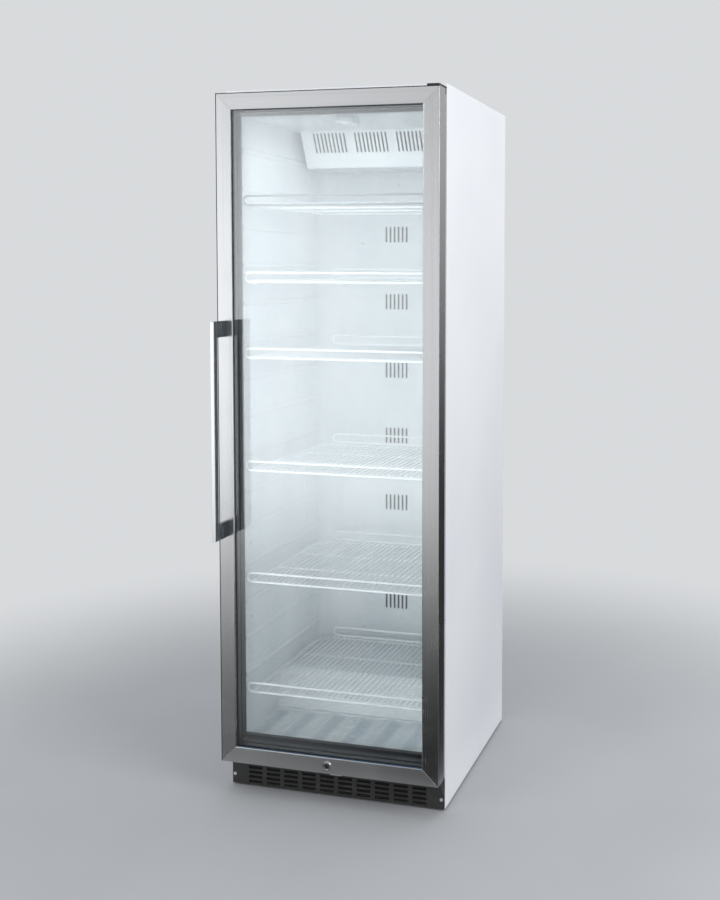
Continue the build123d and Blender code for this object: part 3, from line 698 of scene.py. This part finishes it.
# painted shade: a near-black finish for sheets that stand where openings show only shade
openingShade = softRubber("openingShade", (0.004, 0.004, 0.004), (0.01, 0.01, 0.009), 0.9)
makePiece("kickSlotShade", kickShadeMesh, "cabinet", openingShade)
print("kick plate filter made")

# back wall: near-black sheets of painted shade in the vents, a round wall plug and two screws under the
# cover
wallFace = 0.32  # depth of the back wall's front face
ventLook = {
    "levels": (0.362, 0.672, 0.88, 1.082, 1.292, 1.497),
    "x": -0.03,
    "half": (0.039, 0.0265),
    "behind": (0.0021, 0.0029),
}
ventShadeMesh = bmesh.new()
ventShadeFront, ventShadeBack = ventLook["behind"]
for level in ventLook["levels"]:
    halfWide, halfHigh = ventLook["half"]
    addBlock(
        ventShadeMesh,
        (ventLook["x"] - halfWide, wallFace + ventShadeFront, level - halfHigh),
        (ventLook["x"] + halfWide, wallFace + ventShadeBack, level + halfHigh),
        0.0002,
    )
makePiece("ventShadeSheets", ventShadeMesh, "cabinet", openingShade)

plugLook = {"x": -0.086, "z": 1.663}
plugMesh = bmesh.new()
plugProfile = [
    (0.0002, -0.0014),
    (0.006, -0.0016),
    (0.0085, -0.0022),
    (0.0102, -0.0018),
    (0.0108, -0.0002),
    (0.0002, -0.0002),
]
addTurned(plugMesh, (plugLook["x"], wallFace, plugLook["z"]), (0, 1, 0), plugProfile)
makePiece("wallPlug", plugMesh, "cabinet", clipPlastic)

coverScrewLook = {"x": -0.02, "levels": (1.646, 1.674), "sides": 20}
coverScrewMesh = bmesh.new()
screwProfile = [
    (0.0002, -0.0026),
    (0.0022, -0.0024),
    (0.0036, -0.0017),
    (0.0042, -0.0006),
    (0.0042, -0.0001),
    (0.0002, -0.0001),
]
for z in coverScrewLook["levels"]:
    place = (coverScrewLook["x"], wallFace, z)
    addTurned(coverScrewMesh, place, (0, 1, 0), screwProfile, coverScrewLook["sides"])
makePiece("coverScrews", coverScrewMesh, "cabinet", zincMetal)

# near-black cups of painted shade in the empty shelf clip holes of the side walls, and a near-black sheet of
# painted shade behind the cover's slots
holeShadeLook = {
    "radius": 0.00285,
    "levels": range(249, 1650, 100),
    "shelves": (256, 556, 856, 1156, 1356, 1556),
    "clipBelow": 7,  # a shelf's clip hole lies this far under its wires
    "columns": (-0.18, 0.18),
    "wall": 0.266,
    "sides": 14,
}
# painted shade: near-black cups fill the clip holes that hold no shelf clip
holeShadeMesh = bmesh.new()
cupRadius = holeShadeLook["radius"]
cupProfile = [
    (0.0002, 0.0016),
    (cupRadius * 0.8, 0.0016),
    (cupRadius, 0.0012),
    (cupRadius, 0.0004),
    (cupRadius * 0.75, 0.0004),
    (cupRadius * 0.6, 0.0009),
    (0.0002, 0.001),
]
takenLevels = [level - holeShadeLook["clipBelow"] for level in holeShadeLook["shelves"]]
for side in (-1, 1):
    for depth in holeShadeLook["columns"]:
        for level in holeShadeLook["levels"]:
            if level not in takenLevels:
                place = (side * holeShadeLook["wall"], depth, level * mm)
                addTurned(holeShadeMesh, place, (side, 0, 0), cupProfile, holeShadeLook["sides"])
makePiece("clipHoleShade", holeShadeMesh, "cabinet", blackPlastic)

slopeLook = {
    "half": 0.215,
    "behind": 0.0042,
    "thick": 0.0006,
    "high": 1.782,
    "low": 1.716,
    "top": 1.785,  # where the sloping face starts, and its depth there
    "topDepth": 0.09,
    "run": 0.05,
    "drop": 0.102,
}
# painted shade: a near-black sheet just behind the cover's sloping face, in front of the evaporator
slopeMesh = bmesh.new()


def coverFace(height, facts=slopeLook):  # depth of the sloping face at a height
    return facts["topDepth"] + (facts["top"] - height) * facts["run"] / facts["drop"]


corners = []
for depth in (slopeLook["behind"], slopeLook["behind"] + slopeLook["thick"]):
    for x, z in ((-1, "low"), (1, "low"), (1, "high"), (-1, "high")):
        point = (x * slopeLook["half"], coverFace(slopeLook[z]) + depth, slopeLook[z])
        corners.append(slopeMesh.verts.new(point))
for face in ((0, 1, 2, 3), (7, 6, 5, 4), (0, 4, 5, 1), (1, 5, 6, 2), (2, 6, 7, 3), (3, 7, 4, 0)):
    slopeMesh.faces.new([corners[i] for i in face])
makePiece("coverSlotShade", slopeMesh, "cabinet", openingShade)

# grip ribs along the foot of the control housing's front
controlLow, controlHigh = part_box("control_housing")
ribLook = {
    "count": 7,
    "pitch": 0.0045,
    "half": 0.0009,
    "proud": 0.0008,
    "sunk": 0.0005,
    "ends": 0.004,
    "soft": 0.0003,
}
ribMesh = bmesh.new()
for i in range(ribLook["count"]):
    x = (controlLow.x + controlHigh.x) / 2 + (i - (ribLook["count"] - 1) / 2) * ribLook["pitch"]
    addBlock(
        ribMesh,
        (x - ribLook["half"], controlLow.y - ribLook["proud"], controlLow.z + ribLook["ends"]),
        (x + ribLook["half"], controlLow.y + ribLook["sunk"], controlHigh.z - ribLook["ends"]),
        ribLook["soft"],
    )
makePiece("controlRibs", ribMesh, "cabinet", clipPlastic)
print("compartment details made")

# back: a flashing strip between the back panel and the grille, and the grille's screws
grilleLow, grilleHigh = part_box("rear_grille")
panelLow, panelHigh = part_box("back_panel")
flashLook = {"ends": 0.002, "front": 0.0032, "back": 0.0012, "foot": 0.0003, "lap": 0.003, "soft": 0.0002}
flashMesh = bmesh.new()
addBlock(
    flashMesh,
    (grilleLow.x + flashLook["ends"], panelHigh.y - flashLook["front"], grilleHigh.z + flashLook["foot"]),
    (grilleHigh.x - flashLook["ends"], panelHigh.y - flashLook["back"], panelLow.z + flashLook["lap"]),
    flashLook["soft"],
)
makePiece("seamFlashing", flashMesh, "cabinet", zincSheet)

rearScrews = {
    "face": 0.353,
    "columns": (-0.27, -0.09, 0.09, 0.27),
    "underTop": 0.008,
    "overFoot": 0.016,
    "sides": 20,
}
rearScrewMesh = bmesh.new()
headProfile = [
    (0.0002, 0.0001),
    (0.0045, 0.0001),
    (0.0045, 0.0008),
    (0.0038, 0.0018),
    (0.0024, 0.0024),
    (0.0016, 0.0018),
    (0.0002, 0.0016),
]
for x in rearScrews["columns"]:
    for z in (grilleHigh.z - rearScrews["underTop"], grilleLow.z + rearScrews["overFoot"]):
        addTurned(rearScrewMesh, (x, rearScrews["face"], z), (0, 1, 0), headProfile, rearScrews["sides"])
makePiece("grilleScrews", rearScrewMesh, "cabinet", zincMetal)
print("back details made")


# stage: floor, screens, lights and camera
cameraFacts = {
    "place": (1.111, -2.853, 1.388),
    "yaw": 14.17,  # degrees to the left of straight back
    "pitch": -3.47,
    "roll": 0.34,
    "lens": 43.88,
    "shift": (-0.16, -0.125),
}
floorLook = {
    "colour": (0.42, 0.43, 0.445),
    "cloud": (0.36, 0.37, 0.385),
    "half": 30,
    "clear": 0.85,  # all grey up to this far from the middle
    "gone": 2.3,  # and all backdrop from here
}
skyLook = {"colour": (0.86, 0.88, 0.9), "strength": 0.8}


def paleFloor(facts=floorLook):  # grey round the cabinet, fading into the backdrop
    floor = Finish("paleFloor")
    cloud = floor.noise(1.7, 4)
    speck = floor.noise(260, 2)
    across = floor.axis("X")
    back = floor.axis("Y")
    away = (across * across + back * back) ** 0.5
    grey = floor.surface({
        "Base Color": floor.mix(cloud.between(0.3, 0.8) * 0.4, facts["colour"], facts["cloud"]),
        "Roughness": 0.8 + cloud * 0.08,
        "Specular IOR Level": 0,
        "Normal": floor.bump(speck, 0.0002, 0.2),
    })
    glow = {"Color": skyLook["colour"], "Strength": skyLook["strength"]}
    backdrop = floor.node("ShaderNodeEmission", None, glow)
    fade = away.between(facts["clear"], facts["gone"])
    return floor.done(floor.node("ShaderNodeMixShader", None, {0: fade, 1: grey, 2: backdrop}))


def stageSheet(name, corners, faces, material):
    data = bpy.data.meshes.new(name)
    data.from_pydata(corners, [], faces)
    sheet = bpy.data.objects.new(name, data)
    bpy.context.scene.collection.objects.link(sheet)
    coverIn(sheet, material)
    return sheet


half = floorLook["half"]
floorCorners = [(-half, -half, 0), (half, -half, 0), (half, half, 0), (-half, half, 0)]
stageSheet("floor", floorCorners, [(0, 1, 2, 3)], paleFloor())

# graded screens round the cabinet, seen only in polished surfaces: dark at the floor and bright above
screenLook = {
    "doorFace": -0.29,
    "standOff": 2.56,  # the grading is laid out for someone standing this far in front of the door
    "slide": 0.434,  # how far left a mirrored line runs for each metre out
    "black": 0.019,
    "brightest": 0.906,
    "lift": 0.063,
    "strength": 1.6,
}


def gradedScreen(facts=screenLook):
    screen = Finish("gradedScreen")
    out = facts["doorFace"] - screen.axis("Y")
    sweep = out + screen.axis("Z")  # runs along the floor and then up the wall
    onDoor = (screen.axis("X") + out * facts["slide"]) / (1 + out / facts["standOff"])
    toRight = onDoor.between(-0.3, 0.29)
    bright = facts["black"] + sweep.between(0.2, 5.1) * facts["brightest"] - sweep.between(5.3, 6.9) * 0.344
    leftLift = (1 - toRight) * facts["lift"] * (1 - sweep.between(2, 5))
    lowRight = onDoor.between(0.2, 0.26) * (1 - sweep.between(0.5, 2.4)) * 0.85
    return screen.glowing((bright * (1 - toRight * 0.42) + leftLift) * (1 - lowRight), facts["strength"])


sideLook = {"foot": 0.04, "rise": 0.96, "heights": (-0.1, 2.7), "strength": 0.52}


def sideScreen(facts=sideLook):
    screen = Finish("sideScreen")
    rise = screen.axis("Z").between(*facts["heights"])
    return screen.glowing(facts["foot"] + rise * facts["rise"], facts["strength"])


def polishOnly(sheet):
    sheet.visible_camera = False
    sheet.visible_diffuse = False
    sheet.visible_shadow = False
    sheet.visible_transmission = False


def bentSheet(left, right, near, far, foot=0.004, top=5):
    # along the floor from near to far, then straight up
    return [
        (left, near, foot),
        (right, near, foot),
        (right, far, foot),
        (left, far, foot),
        (left, far, top),
        (right, far, top),
    ]


sheetFaces = [(0, 1, 2, 3), (3, 2, 5, 4)]
polishOnly(stageSheet("frontScreen", bentSheet(-5, 1.2, -0.42, -4.2), sheetFaces, gradedScreen()))
polishOnly(stageSheet("sideScreen", bentSheet(0.36, 5, -0.42, 3.6), sheetFaces, sideScreen()))
print("floor and screens ready")

lamps = {
    "windowLeft": {"place": (-2.6, -4.4, 2.2), "aim": (-0.2, 0, 1.2), "size": (2.0, 2.3), "power": 60},
    "sideRight": {"place": (3.4, -1.5, 2.5), "aim": (0.3, 0, 1.5), "size": (2.0, 1.8), "power": 68},
    "overhead": {"place": (0.3, 0.4, 4.2), "aim": (0, 0, 0), "size": (3.2, 3.2), "power": 40},
    "insideFront": {
        "place": (0, -0.238, 0.96),
        "aim": (0, 1, 0.92),
        "size": (0.51, 1.62),
        "power": 3.3,
        "spread": 120,
    },
    "insideTop": {"place": (0.0, -0.1, 1.762), "aim": (0.05, 0, 0), "size": (0.3, 0.18), "power": 0.5},
    "insideLow": {
        "place": (0.24, -0.12, 0.21),
        "aim": (-0.4, -0.12, 0.16),
        "size": (0.04, 0.3),
        "power": 0.08,
    },
}

for name, facts in lamps.items():
    lamp = bpy.data.lights.new(name, "AREA")
    lamp.shape = "RECTANGLE"
    lamp.size, lamp.size_y = facts["size"]
    lamp.energy = facts["power"]
    lamp.spread = math.radians(facts.get("spread", 180))
    holder = bpy.data.objects.new(name, lamp)
    bpy.context.scene.collection.objects.link(holder)
    holder.location = facts["place"]
    aimed = Vector(facts["aim"]) - Vector(facts["place"])
    holder.rotation_euler = aimed.to_track_quat("-Z", "Y").to_euler()
    holder.visible_camera = False
    holder.visible_glossy = name == "sideRight"

sky = bpy.data.worlds.new("studio")
bpy.context.scene.world = sky
sky.use_nodes = True
backdrop = sky.node_tree.nodes["Background"]
backdrop.inputs["Color"].default_value = (*skyLook["colour"], 1)
backdrop.inputs["Strength"].default_value = skyLook["strength"]

camera = bpy.data.objects.new("camera", bpy.data.cameras.new("camera"))
bpy.context.scene.collection.objects.link(camera)
bpy.context.scene.camera = camera
camera.data.lens = cameraFacts["lens"]
camera.data.shift_x, camera.data.shift_y = cameraFacts["shift"]
turn = Matrix.Rotation(math.radians(cameraFacts["yaw"]), 4, "Z")
tip = Matrix.Rotation(math.radians(90 + cameraFacts["pitch"]), 4, "X")
lean = Matrix.Rotation(math.radians(cameraFacts["roll"]), 4, "Z")
camera.matrix_world = Matrix.Translation(cameraFacts["place"]) @ turn @ tip @ lean
bpy.context.scene.view_settings.view_transform = "Standard"
print("stage ready")
